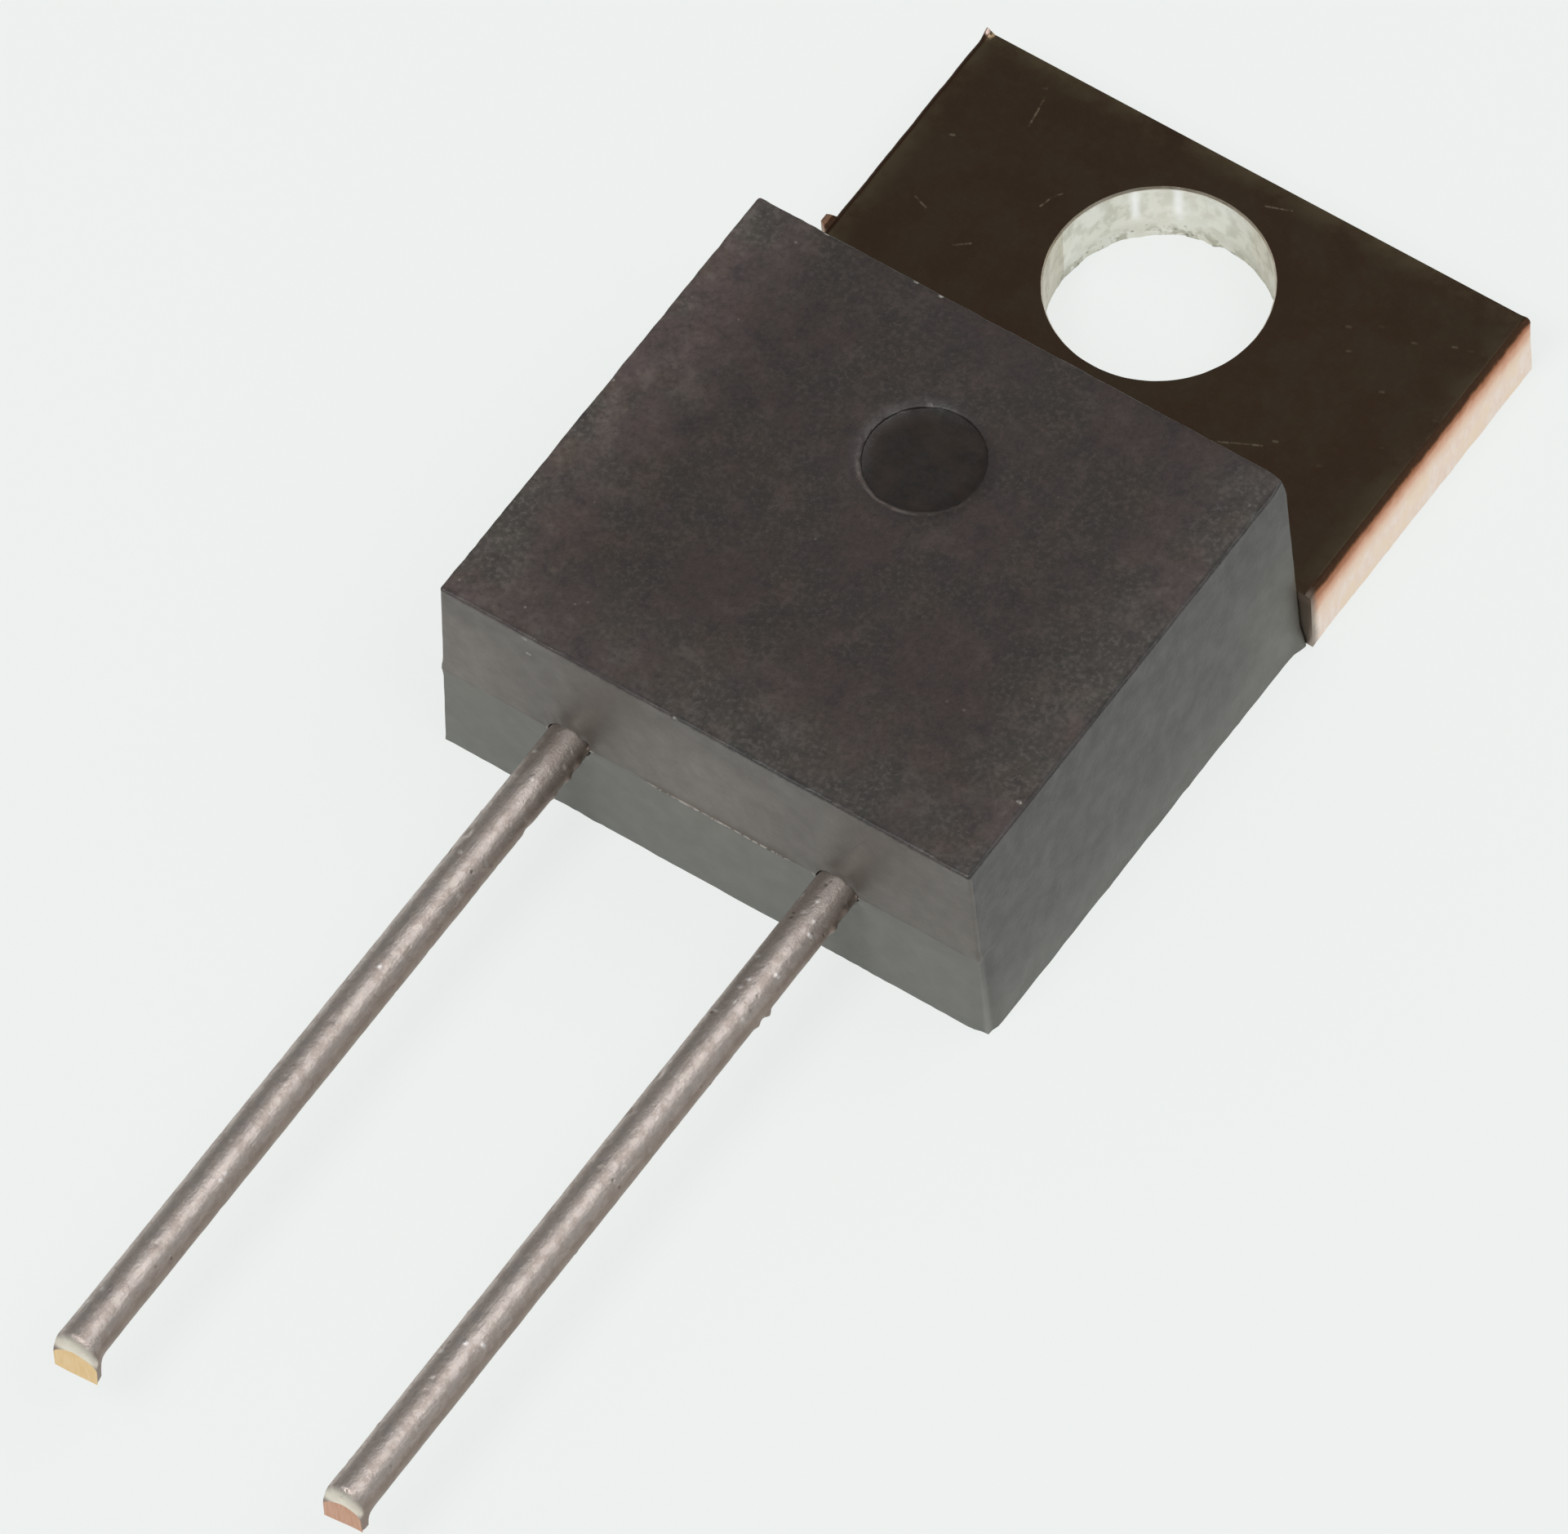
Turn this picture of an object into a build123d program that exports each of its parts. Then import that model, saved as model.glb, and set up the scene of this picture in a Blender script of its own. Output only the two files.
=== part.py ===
from build123d import *
from math import cos, radians, sin
import os

# Power resistor in a two-lead moulded package with a heat-sink tab. Sizes in millimetres.
# The origin is on the mounting hole's axis, in the tab's back face, on which the part lies.
# +Z runs up through the package, +Y towards the tab's free end, and the leads run out along -Y.

# Heat-sink tab: a copper blank, punched and sheared out of a strip, then nickel plated
tab_thickness = 1.38
tab_width = 10.44
tab_end_y = 2.59            # the free end, measured from the hole's axis
tab_shift = 0.14            # the blank is sheared this far to the right of its hole
hole_diameter = 3.70
hole_edge_break = 0.05
roll_over_radius = 0.08     # the shear pulls the long upper edges down
neck_width = 8.60           # the blank is narrower where the moulding grips it
neck_end_y = -11.90
lock_ledge = 0.40           # the neck's lower edge is coined in, so that the moulding keys under it
lock_ledge_height = 0.62
stub_out = 0.12             # rest of the bar that tied the blank to its strip
stub_length = 0.38
stub_y = -1.82
stub_height = 0.95

# Moulded body: one draft on both sides, and a front that two mould halves share
body_back_y = -3.70
body_front_y = -12.58
body_height = 4.43
body_base_width = 10.35
body_top_width = 9.99
front_draft = 0.04          # the front leans back by this much over the body's height
front_step = 0.05           # the lower mould half leaves the front this much further back
corner_radius = 0.06
top_edge_radius = 0.05
ejector_mark_diameter = 2.0
ejector_mark_depth = 0.09
ejector_mark_y = -6.42

# Leads: tinned copper wire, coined flat inside the body and sheared off at the tip
lead_diameter = 0.75
lead_pitch = 5.08
lead_shift = -0.10          # the pair sits this far to the left of the hole
lead_height = 2.12          # also the height of the mould's parting plane at the front
lead_tip_y = -26.05
burr_length = 0.50          # stretch over which shearing has dragged the tip down
burr_drop = 0.15
burr_spread = 0.01          # and made it this much wider on each side
tip_roll_length = 0.22      # stretch over which the upper side rolls down to the cut
tip_roll_steps = 3
tip_sink = 0.14             # the cut's shoulders lie this far below the wire's axis
tip_arch = 0.20             # and its crown this far above its shoulders
paddle_width = 1.50
paddle_thickness = 0.24
wire_start_y = -12.62       # the coining starts just outside the moulding
paddle_front_y = -11.50
paddle_back_y = -9.30

# Resistor element: thick film on alumina, soldered to the tab and to the leads
substrate_solder_thickness = 0.06
substrate_width = 7.60
substrate_back_y = -4.60
substrate_front_y = -11.40
substrate_thickness = 0.50
film_thickness = 0.02
glaze_thickness = 0.02
pad_width = 1.70
pad_margin = 0.25           # bare ceramic left round the printed layers
trim_cut_width = 0.12
trim_cut_length = 2.30
trim_cut_offset = 0.60

# Values that follow from the ones above
lead_radius = lead_diameter / 2
wire_end_y = lead_tip_y + burr_length
body_depth = body_back_y - body_front_y
body_middle_y = (body_back_y + body_front_y) / 2
substrate_bottom = tab_thickness + substrate_solder_thickness
substrate_top = substrate_bottom + substrate_thickness
film_top = substrate_top + film_thickness
paddle_bottom = lead_height - paddle_thickness / 2
substrate_middle_y = (substrate_back_y + substrate_front_y) / 2
substrate_depth = substrate_back_y - substrate_front_y
print_front_y = substrate_front_y + pad_margin
print_depth = substrate_depth - 2 * pad_margin
lead_places = {"left": lead_shift - lead_pitch / 2, "right": lead_shift + lead_pitch / 2}

os.makedirs("parts", exist_ok=True)


def save(piece, name):
    """Labels a finished piece and writes its STEP file."""
    piece.label = name
    export_step(piece, f"parts/{name}.step")


# Heat-sink tab
with BuildPart() as heat_sink_tab:
    with BuildSketch(Plane.XY):
        with Locations((tab_shift, (tab_end_y + body_back_y) / 2)):
            Rectangle(tab_width, tab_end_y - body_back_y)
        with Locations((0, (body_back_y + neck_end_y) / 2)):
            Rectangle(neck_width, body_back_y - neck_end_y)
        Circle(hole_diameter / 2, mode=Mode.SUBTRACT)
    extrude(amount=tab_thickness)

    hole_edges = heat_sink_tab.edges().filter_by(GeomType.CIRCLE)
    chamfer(hole_edges.sort_by(Axis.Z)[-1], hole_edge_break)
    top_edges = heat_sink_tab.edges().filter_by(Axis.Y).group_by(Axis.Z)[-1].sort_by(Axis.X)
    fillet([top_edges[0], top_edges[-1]], roll_over_radius)

    # Coined ledge round the three buried edges of the neck
    with BuildSketch(Plane.XY):
        with Locations((0, (body_back_y + neck_end_y) / 2)):
            Rectangle(neck_width, body_back_y - neck_end_y)
        with Locations((0, (body_back_y + neck_end_y + lock_ledge) / 2)):
            Rectangle(
                neck_width - 2 * lock_ledge,
                body_back_y - neck_end_y - lock_ledge,
                mode=Mode.SUBTRACT,
            )
    extrude(amount=lock_ledge_height, mode=Mode.SUBTRACT)

    # Sheared stub of the tie bar, on the left edge
    with BuildSketch(Plane.XY.offset(tab_thickness - stub_height)):
        with Locations((tab_shift - tab_width / 2, stub_y)):
            Trapezoid(stub_length, stub_out * 2, 65, rotation=90)
    extrude(amount=stub_height)
save(heat_sink_tab.part, "heat_sink_tab")

# Solder layer and ceramic substrate
with BuildPart() as substrate_solder:
    with BuildSketch(Plane.XY.offset(tab_thickness)):
        with Locations((0, substrate_middle_y)):
            RectangleRounded(substrate_width, substrate_depth, corner_radius)
    extrude(amount=substrate_solder_thickness)
save(substrate_solder.part, "substrate_solder")

with BuildPart() as ceramic_substrate:
    with BuildSketch(Plane.XY.offset(substrate_bottom)):
        with Locations((0, substrate_middle_y)):
            Rectangle(substrate_width, substrate_depth)
    extrude(amount=substrate_thickness)
save(ceramic_substrate.part, "ceramic_substrate")

# Printed terminations, one under each lead, and the film between them
terminations = {}
for side, lead_x in lead_places.items():
    with BuildPart() as termination:
        with BuildSketch(Plane.XY.offset(substrate_top)):
            with Locations((lead_x, substrate_middle_y)):
                Rectangle(pad_width, print_depth)
        extrude(amount=film_thickness)
    terminations[side] = termination.part
    save(termination.part, f"termination_{side}")

film_width = lead_pitch - pad_width
with BuildPart() as resistive_film:
    with BuildSketch(Plane.XY.offset(substrate_top)):
        with Locations((lead_shift, substrate_middle_y)):
            Rectangle(film_width, print_depth)
        # Laser trim: a plunge cut from the film's front edge
        with Locations((lead_shift + trim_cut_offset, print_front_y)):
            Rectangle(trim_cut_width, trim_cut_length * 2, mode=Mode.SUBTRACT)
    extrude(amount=film_thickness)
save(resistive_film.part, "resistive_film")

with BuildPart() as overglaze:
    with BuildSketch(Plane.XY.offset(film_top)):
        with Locations((lead_shift, substrate_middle_y)):
            Rectangle(film_width, print_depth)
    extrude(amount=glaze_thickness)
save(overglaze.part, "overglaze")


# Leads
leads = {}
for side, lead_x in lead_places.items():
    with BuildPart() as lead:
        # Straight round wire, from the start of the coining to the start of the burr
        across = Plane(origin=(lead_x, wire_start_y, lead_height), x_dir=(1, 0, 0), z_dir=(0, -1, 0))
        with BuildSketch(across):
            Circle(lead_radius)
        extrude(amount=wire_start_y - wire_end_y)

        # Sheared tip: the round section is dragged down into a flat-bottomed one, and its upper
        # side rolls over in a quarter of an ellipse. Each outline has an arch and three edges
        # below, which the loft joins one to one.
        with BuildSketch(across.offset(wire_start_y - wire_end_y)):
            with BuildLine():
                CenterArc((0, 0), lead_radius, 0, 180)
                CenterArc((0, 0), lead_radius, 180, 45)
                CenterArc((0, 0), lead_radius, 225, 90)
                CenterArc((0, 0), lead_radius, 315, 45)
            make_face()
        for step in range(tip_roll_steps + 1):
            turn = radians(90) * step / tip_roll_steps
            from_tip = tip_roll_length * (1 - sin(turn))
            roll = 1 - cos(turn)
            burr = 1 - from_tip / burr_length
            half_width = lead_radius + burr_spread * burr
            shoulder = -tip_sink * roll
            low = -lead_radius - burr_drop * burr
            crown = lead_radius + (tip_arch - lead_radius) * roll
            with BuildSketch(across.offset(wire_start_y - lead_tip_y - from_tip)):
                with BuildLine():
                    EllipticalCenterArc((0, shoulder), half_width, crown, arc_size=180)
                    Polyline(
                        (-half_width, shoulder),
                        (-half_width, low),
                        (half_width, low),
                        (half_width, shoulder),
                    )
                make_face()
        loft(ruled=True)

        # Flare and paddle, coined flat on the parting plane
        with BuildSketch(across):
            Circle(lead_radius)
        with BuildSketch(across.offset(wire_start_y - paddle_front_y)):
            Rectangle(paddle_width, paddle_thickness)
        loft(ruled=True)
        with BuildSketch(Plane.XY.offset(paddle_bottom)):
            with Locations((lead_x, (paddle_front_y + paddle_back_y) / 2)):
                Rectangle(paddle_width, paddle_back_y - paddle_front_y)
        extrude(amount=paddle_thickness)
    leads[side] = lead.part
    save(lead.part, f"lead_{side}")

# Solder under each paddle, as far as the printed termination reaches
lead_solders = {}
for side, lead_x in lead_places.items():
    with BuildPart() as lead_solder:
        with BuildSketch(Plane.XY.offset(film_top)):
            with Locations((lead_x, (print_front_y + paddle_back_y) / 2)):
                Rectangle(paddle_width, paddle_back_y - print_front_y)
        extrude(amount=paddle_bottom - film_top)
    lead_solders[side] = lead_solder.part
    save(lead_solder.part, f"lead_solder_{side}")

# Moulded body, cast round everything above
with BuildPart() as moulded_body:
    with BuildSketch(Plane.XY):
        with Locations((0, body_middle_y)):
            RectangleRounded(body_base_width, body_depth, corner_radius)
    with BuildSketch(Plane.XY.offset(body_height)):
        with Locations((0, body_middle_y + front_draft / 2)):
            RectangleRounded(body_top_width, body_depth - front_draft, corner_radius)
    loft(ruled=True)
    fillet(moulded_body.faces().sort_by(Axis.Z)[-1].edges(), top_edge_radius)

    # Lower mould half: the front below the parting plane stands back
    with BuildSketch(Plane.XY):
        with Locations((0, body_front_y)):
            Rectangle(body_base_width * 2, front_step * 2)
    extrude(amount=lead_height, mode=Mode.SUBTRACT)

    # Round mark of the ejector pin
    with BuildSketch(Plane.XY.offset(body_height)):
        with Locations((0, ejector_mark_y)):
            Circle(ejector_mark_diameter / 2)
    extrude(amount=-ejector_mark_depth, taper=10, mode=Mode.SUBTRACT)

    # Everything that the resin flowed round
    for buried in [
        heat_sink_tab.part,
        substrate_solder.part,
        ceramic_substrate.part,
        resistive_film.part,
        overglaze.part,
        *terminations.values(),
        *lead_solders.values(),
        *leads.values(),
    ]:
        add(buried, mode=Mode.SUBTRACT)
save(moulded_body.part, "moulded_body")
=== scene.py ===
import math
import random
from bisect import bisect_left, bisect_right
from functools import partial, reduce

import bmesh
import bpy
from mathutils import Matrix, Vector, noise


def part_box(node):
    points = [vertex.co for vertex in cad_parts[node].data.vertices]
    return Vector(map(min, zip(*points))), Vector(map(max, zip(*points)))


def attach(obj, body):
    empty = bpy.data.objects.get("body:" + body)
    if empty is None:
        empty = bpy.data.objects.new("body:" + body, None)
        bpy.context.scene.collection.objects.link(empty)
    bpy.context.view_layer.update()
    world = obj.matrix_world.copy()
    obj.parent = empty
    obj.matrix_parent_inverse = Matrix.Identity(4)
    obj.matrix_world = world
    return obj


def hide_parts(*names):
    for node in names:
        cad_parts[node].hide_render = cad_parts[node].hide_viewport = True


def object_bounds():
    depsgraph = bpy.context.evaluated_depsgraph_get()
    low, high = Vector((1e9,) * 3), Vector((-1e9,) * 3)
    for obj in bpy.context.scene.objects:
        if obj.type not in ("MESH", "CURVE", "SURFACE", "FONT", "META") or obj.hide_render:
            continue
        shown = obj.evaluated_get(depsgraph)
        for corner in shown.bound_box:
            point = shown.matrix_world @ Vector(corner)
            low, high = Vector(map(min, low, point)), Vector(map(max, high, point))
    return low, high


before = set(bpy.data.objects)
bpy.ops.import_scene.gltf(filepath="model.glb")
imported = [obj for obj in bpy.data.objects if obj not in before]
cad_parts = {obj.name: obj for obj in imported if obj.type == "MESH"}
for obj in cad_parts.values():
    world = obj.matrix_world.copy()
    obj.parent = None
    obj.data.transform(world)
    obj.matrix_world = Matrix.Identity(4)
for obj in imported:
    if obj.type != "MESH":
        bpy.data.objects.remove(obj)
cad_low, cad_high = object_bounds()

# Looks of a tabbed power resistor. Lengths named here are in millimetres, and MM turns them into
# the frame's metres. X runs across the part, +Y to the tab's free end, and +Z up. Colours are
# sRGB, from 0 to 255.
MM = 0.001

# Places on the part, where the solids have them
TAB_LOW, TAB_HIGH = (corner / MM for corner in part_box("heat_sink_tab"))
BODY_LOW, BODY_HIGH = (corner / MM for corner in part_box("moulded_body"))
SIDES = ("left", "right")
LEAD_BOXES = {side: [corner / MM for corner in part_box(f"lead_{side}")] for side in SIDES}
WIRE_RADIUS = 0.375
LEAD_AXES = {
    side: ((low.x + high.x) / 2, high.z - WIRE_RADIUS) for side, (low, high) in LEAD_BOXES.items()
}
LEAD_Z = LEAD_AXES["left"][1]
TIP_Y = LEAD_BOXES["left"][0].y
HOLE_RADIUS = 1.85
STUB_OUT = 0.12  # of the tie bar's stub, from the tab's left edge
TAB_LEFT = TAB_LOW.x + STUB_OUT
SHOULDER_Y = BODY_HIGH.y
BODY_TOP_RIGHT = 4.995  # the top's right and front edges, inside the sides' draft
BODY_TOP_FRONT = -12.54
PARTING_Z = 2.12
MARK_PLACE = (0.0, -6.42)  # the ejector mark
MARK_RADIUS = 1.0
MARK_DEPTH = 0.09


# ---------------- camera

# A long lens, from the leads' end, above and to the right
CAMERA_AZIMUTH = 38.116
CAMERA_ELEVATION = 56.581
CAMERA_ROLL = -4.502
CAMERA_DISTANCE = 368.70
CAMERA_LENS = 541.56
SENSOR_WIDTH = 36.0
CAMERA_AIM = (0.347, 0.609, -0.215)  # from the middle of the part's box


def direction(azimuth, elevation):
    """The unit vector from the part to this azimuth and elevation, in degrees."""
    a, e = math.radians(azimuth), math.radians(elevation)
    return Vector((math.sin(a) * math.cos(e), -math.cos(a) * math.cos(e), math.sin(e)))


def make_camera():
    middle = (cad_low + cad_high) / 2
    turn = math.radians(CAMERA_AZIMUTH)
    roll = math.radians(CAMERA_ROLL)
    back = direction(CAMERA_AZIMUTH, CAMERA_ELEVATION)
    right = Vector((math.cos(turn), math.sin(turn), 0))
    up = back.cross(right)
    x_axis = right * math.cos(roll) + up * math.sin(roll)
    y_axis = up * math.cos(roll) - right * math.sin(roll)
    camera = bpy.data.objects.new("camera", bpy.data.cameras.new("camera"))
    bpy.context.scene.collection.objects.link(camera)
    turned = Matrix((x_axis, y_axis, back)).transposed().to_4x4()
    place = middle + Vector(CAMERA_AIM) * MM + back * CAMERA_DISTANCE * MM
    camera.matrix_world = Matrix.Translation(place) @ turned
    camera.data.lens = CAMERA_LENS
    camera.data.sensor_width = SENSOR_WIDTH
    camera.data.clip_start = 0.01
    camera.data.clip_end = 10.0
    bpy.context.scene.camera = camera


make_camera()


# ---------------- node trees

def linear(value):
    """Linear RGBA of an sRGB colour. A socket is passed on as it is."""
    if isinstance(value, bpy.types.NodeSocket):
        return value
    shares = [v / 255 for v in value]
    return [s / 12.92 if s <= 0.04045 else ((s + 0.055) / 1.055) ** 2.4 for s in shares] + [1.0]


def set_range(node, *numbers):
    """Sets a Map Range node's input range and output range."""
    for socket, number in zip(("From Min", "From Max", "To Min", "To Max"), numbers):
        node.inputs[socket].default_value = number


class Nodes:
    """A material's node tree, with short calls for what is used here. Places and sizes are in
    millimetres on the part, and masks run from 0 to 1."""

    def __init__(self, name, **shader):
        self.material = bpy.data.materials.new(name)
        self.material.use_nodes = True
        self.tree = self.material.node_tree
        self.shader = self.tree.nodes["Principled BSDF"]
        for socket, value in shader.items():
            self.shader.inputs[socket.replace("_", " ")].default_value = value
        self.place = self.scaled(self.add("ShaderNodeTexCoord").outputs["Object"], (1 / MM,) * 3)
        self.x, self.y, self.z = self.add("ShaderNodeSeparateXYZ", Vector=self.place).outputs

    def add(self, kind, settings=None, values=(), **inputs):
        node = self.tree.nodes.new(kind)
        for key, value in (settings or {}).items():
            setattr(node, key, value)
        for socket, value in (*enumerate(values), *inputs.items()):
            self.feed(node.inputs[socket], value)
        return node

    def feed(self, socket, value):
        if isinstance(value, bpy.types.NodeSocket):
            self.tree.links.new(value, socket)
        else:
            socket.default_value = value

    # Vectors and numbers

    def vector(self, operation, a, b):
        node = self.add("ShaderNodeVectorMath", {"operation": operation}, (a, b))
        return node.outputs["Value" if operation in ("DOT_PRODUCT", "DISTANCE") else "Vector"]

    def scaled(self, vector, scale):
        return self.vector("MULTIPLY", vector, scale)

    def maths(self, operation, a, b=0.0):
        return self.add("ShaderNodeMath", {"operation": operation}, (a, b)).outputs[0]

    def plus(self, a, b):
        return self.maths("ADD", a, b)

    def minus(self, a, b):
        return self.maths("SUBTRACT", a, b)

    def times(self, *factors):
        return reduce(partial(self.maths, "MULTIPLY"), factors)

    def most(self, *values):
        return reduce(partial(self.maths, "MAXIMUM"), values)

    def length(self, a, b):
        return self.maths("SQRT", self.plus(self.times(a, a), self.times(b, b)))

    def span(self, value, low, high, to_low=0.0, to_high=1.0):
        """Smooth step of a value, from to_low at low to to_high at high."""
        node = self.add("ShaderNodeMapRange", {"interpolation_type": "SMOOTHSTEP"}, Value=value)
        set_range(node, low, high, to_low, to_high)
        return node.outputs[0]

    def near(self, value, middle, half_width):
        """1 where a value is at the middle, falling to 0 at half_width away from it."""
        return self.span(self.maths("ABSOLUTE", self.minus(value, middle)), half_width, 0.0)

    # Patterns

    def noise(self, size, detail=3.0, rough=0.55, stretch=(1, 1, 1), place=None):
        """Smooth noise from 0 to 1 with features of this size, longer where stretch is above 1."""
        vector = self.scaled(place or self.place, [1 / (size * s) for s in stretch])
        inputs = {"Vector": vector, "Scale": 1.0, "Detail": detail, "Roughness": rough}
        return self.add("ShaderNodeTexNoise", **inputs).outputs["Fac"]

    def wander(self, size, reach, **kind):
        """Noise about 0, by at most half the reach either way."""
        return self.times(self.plus(self.noise(size, **kind), -0.5), reach)

    def dots(self, size, radius):
        """1 amid scattered dots, one to each cell of this size, falling to 0 at the radius."""
        vector = self.scaled(self.place, (1 / size,) * 3)
        node = self.add("ShaderNodeTexVoronoi", Vector=vector, Scale=1.0)
        return self.span(node.outputs["Distance"], radius / size, 0.0)

    def marks(self, places, half_width):
        """1 along short strokes, each given by its ends, and 0 past half_width from them."""
        made = 0.0
        for start, end in places:
            stroke = Vector(end) - Vector(start)
            offset = self.vector("SUBTRACT", self.place, start)
            along = self.vector("DOT_PRODUCT", offset, stroke / stroke.length_squared)
            along = self.maths("MINIMUM", self.most(along, 0.0), 1.0)
            away = self.vector("DISTANCE", offset, self.lighter(stroke, along))
            made = self.most(made, self.span(away, half_width, 0.0))
        return made

    # Colours

    def blend(self, mask, a, b, how="MIX"):
        """Colour a, and where the mask is 1, colour b or a treated with b."""
        node = self.add("ShaderNodeMix", {"data_type": "RGBA", "blend_type": how}, (mask,))
        self.feed(node.inputs[6], linear(a))
        self.feed(node.inputs[7], linear(b))
        return node.outputs[2]

    def lighter(self, tint, factor):
        """A colour, or any vector, multiplied by a factor."""
        node = self.add("ShaderNodeVectorMath", {"operation": "SCALE"}, (tint,), Scale=factor)
        return node.outputs[0]

    def over(self, base, tint, *masks):
        """A colour, covered by a tint where the product of the masks is 1."""
        return self.blend(self.times(*masks), base, tint)

    def relit(self, base, factor, *masks):
        """A colour, multiplied by a factor where the product of the masks is 1."""
        return self.over(base, self.lighter(base, factor), *masks)

    def finished(self, colour, rough, *layers):
        """The material with this colour and roughness, and with bump from layers of (height from
        0 to 1, depth in mm)."""
        normal = None
        for height, depth in layers:
            node = self.add("ShaderNodeBump", Height=height, Distance=depth * MM, Strength=1.0)
            if normal:
                self.feed(node.inputs["Normal"], normal)
            normal = node.outputs[0]
        for socket, value in (("Base Color", colour), ("Roughness", rough), ("Normal", normal)):
            self.feed(self.shader.inputs[socket], value)
        return self.material


# ---------------- floor, world and lamps

PAPER = (238, 241, 239)
PAPER_GLOW = 0.87  # share of the floor's look that is plain pale colour, without shadow
FLOOR_SIZE = 1500.0
SHEET_ENDS = (24.0, 60.0)  # where the paper fades out in reflections, from the hole's axis
DIM_ROOM = (96, 94, 92)


def floor_paper():
    """Plain pale paper, seen by the camera and in shiny or clear surfaces. In a shiny one it ends
    where a real sheet would, and the room beyond is dim."""
    mat = Nodes("floor_paper", Roughness=0.9, Base_Color=linear(PAPER), Specular_IOR_Level=0.1)
    path = mat.add("ShaderNodeLightPath").outputs
    seen = mat.most(*(path[f"Is {kind} Ray"] for kind in ("Camera", "Glossy", "Transmission")))
    from_axis = mat.length(mat.x, mat.y)
    past = mat.times(mat.span(from_axis, *SHEET_ENDS), path["Is Glossy Ray"])
    glow = mat.add("ShaderNodeEmission", Color=mat.blend(past, PAPER, DIM_ROOM), Strength=1.0)
    parts = mat.times(seen, PAPER_GLOW), mat.shader.outputs[0], glow.outputs[0]
    both = mat.add("ShaderNodeMixShader", None, parts)
    mat.feed(mat.tree.nodes["Material Output"].inputs["Surface"], both.outputs[0])
    return mat.material


def make_floor():
    half = FLOOR_SIZE / 2 * MM
    corners = [(-half, -half, 0), (half, -half, 0), (half, half, 0), (-half, half, 0)]
    mesh = bpy.data.meshes.new("floor")
    mesh.from_pydata(corners, [], [(0, 1, 2, 3)])
    mesh.materials.append(floor_paper())
    floor = bpy.data.objects.new("floor", mesh)
    bpy.context.scene.collection.objects.link(floor)
    floor.location.z = cad_low.z


AMBIENT = 0.46  # strength of the even light from all round
ROOM_ABOVE = 0.17  # how bright the room overhead looks in a shiny surface
ROOM_LEVEL = 0.30  # and at eye level
ROOM_BEND = 0.6  # sine of the elevation from which it is as dim as overhead


def make_world():
    world = bpy.data.worlds.new("studio")
    bpy.context.scene.world = world
    world.use_nodes = True
    tree = world.node_tree
    tree.nodes.clear()

    def add(kind, **settings):
        node = tree.nodes.new(kind)
        for key, value in settings.items():
            setattr(node, key, value)
        return node

    path = add("ShaderNodeLightPath").outputs
    height = add("ShaderNodeSeparateXYZ")
    tree.links.new(add("ShaderNodeTexCoord").outputs["Generated"], height.inputs[0])
    room = add("ShaderNodeMapRange", interpolation_type="SMOOTHSTEP")
    tree.links.new(height.outputs["Z"], room.inputs["Value"])
    set_range(room, 0.0, ROOM_BEND, ROOM_LEVEL, ROOM_ABOVE)

    shiny = add("ShaderNodeMix", data_type="FLOAT")
    tree.links.new(path["Is Glossy Ray"], shiny.inputs["Factor"])
    shiny.inputs["A"].default_value = AMBIENT
    tree.links.new(room.outputs[0], shiny.inputs["B"])
    strength = add("ShaderNodeMix", data_type="FLOAT")
    tree.links.new(path["Is Camera Ray"], strength.inputs["Factor"])
    tree.links.new(shiny.outputs[0], strength.inputs["A"])
    strength.inputs["B"].default_value = 1.0

    background = add("ShaderNodeBackground")
    background.inputs["Color"].default_value = linear(PAPER)
    tree.links.new(strength.outputs[0], background.inputs["Strength"])
    tree.links.new(background.outputs[0], add("ShaderNodeOutputWorld").inputs["Surface"])


# Soft lamps: azimuth, elevation, distance, size and watts
LAMPS = {
    "lamp_left": (-4.0, 60.0, 300.0, 110.0, 0.36),
    "lamp_right": (78.0, 60.0, 300.0, 110.0, 0.12),
    "lamp_back": (142.0, 57.0, 300.0, 240.0, 0.20),
}


def make_lamps():
    middle = (cad_low + cad_high) / 2
    for name, (azimuth, elevation, distance, size, watts) in LAMPS.items():
        light = bpy.data.lights.new(name, "AREA")
        light.shape = "DISK"
        light.size = size * MM
        light.energy = watts
        lamp = bpy.data.objects.new(name, light)
        bpy.context.scene.collection.objects.link(lamp)
        back = direction(azimuth, elevation)
        lamp.location = middle + back * distance * MM
        lamp.rotation_euler = back.to_track_quat("Z", "Y").to_euler()


make_floor()
make_world()
make_lamps()


# ---------------- moulding compound

# Its greys, and the ejector mark's browns
PINK_GREY = (63, 51, 50)
GREEN_GREY = (53, 49, 44)
BROWN_GREY = (66, 53, 44)
PALE_BLOT = (82, 73, 69)
DARK_BLOT = (38, 30, 30)
PORE = (36, 31, 30)
GRAIN = (84, 77, 74)
FILLER = (134, 130, 126)
TOP_SHADE = (210, 196, 195)  # multiplied in, away from the top's edges
SIDE_DARK = (32, 28, 26)
SIDE_LOWER = (68, 64, 58)
FRONT_GREY = (92, 85, 78)
FOOT_GREY = (98, 99, 91)
BACK_GREY = (102, 101, 92)
LOWER_HALF = (98, 99, 92)
RUBBED_CORNER_AND_HIGHLIGHT = (134, 132, 126)
FLASH_SCUFF_AND_GLINT = (186, 180, 170)
CHIP_AND_GLINT_PALE = (186, 182, 174)
MARK_BAND_SHADE = (46, 38, 36)
MARK_RIM_HIGHLIGHT = (126, 115, 110)
MARK_SHADE = (38, 32, 31)
MARK_FLOOR = ((20, 13, 9), (30, 21, 16))
MARK_WARM = (40, 25, 19)
MARK_WALL_SHADE = (22, 13, 11)
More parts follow.
